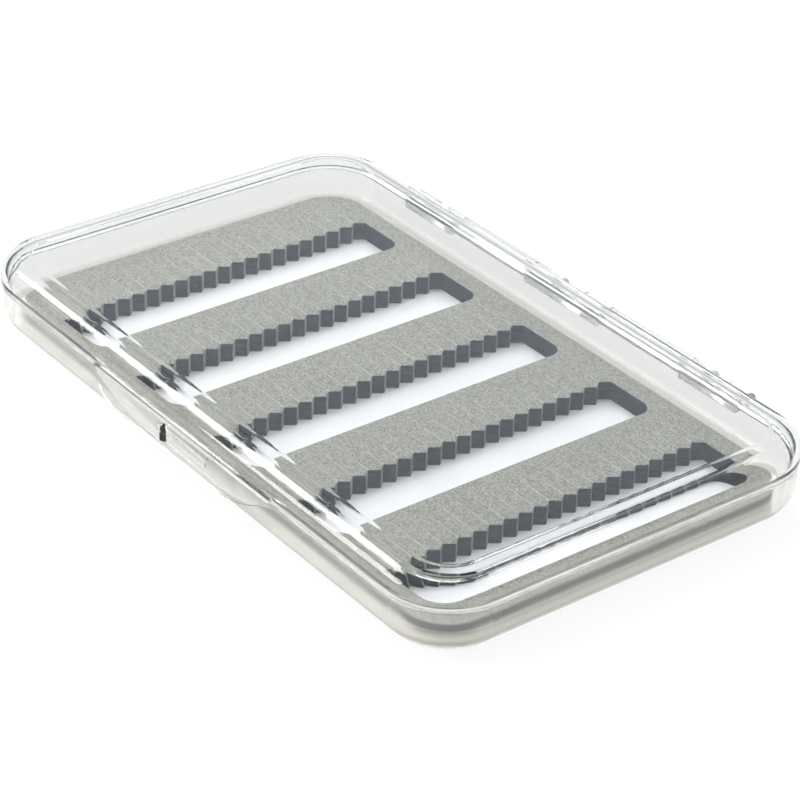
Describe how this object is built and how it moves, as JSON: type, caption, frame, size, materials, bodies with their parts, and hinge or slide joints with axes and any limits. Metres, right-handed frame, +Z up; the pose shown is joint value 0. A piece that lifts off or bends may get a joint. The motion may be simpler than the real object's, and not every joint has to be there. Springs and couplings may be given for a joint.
{
  "type": "fly box",
  "caption": "Slim pocket case for fishing flies: a frosted tray with toothed foam strips under a clear lid that hinges on a steel pin and snaps shut at the front.",
  "frame": {"origin": "middle of the case's outline on the tray's flat underside", "axes": "+X along the case, +Y from the latch to the hinge, +Z up through the lid"},
  "size_m": [0.15, 0.0964, 0.0163],
  "materials": {
    "frosted_plastic": "frosted translucent moulding",
    "white_sheet": "smooth white",
    "grey_foam": "closed-cell foam, matt",
    "steel": "drawn wire, bright",
    "clear_plastic": "polished crystal clear moulding"
  },
  "bodies": {
    "base": {"base_tray": "frosted_plastic", "backing_sheet": "white_sheet", "foam_insert": "grey_foam", "hinge_pin": "steel"},
    "lid": {"lid": "clear_plastic"}
  },
  "joints": [
    {"name": "lid_hinge", "type": "hinge", "parent": "base", "child": "lid", "pos_m": [0, 0.0475, 0.0106], "axis": [-1, 0, 0], "range_deg": [0, 180]}
  ]
}
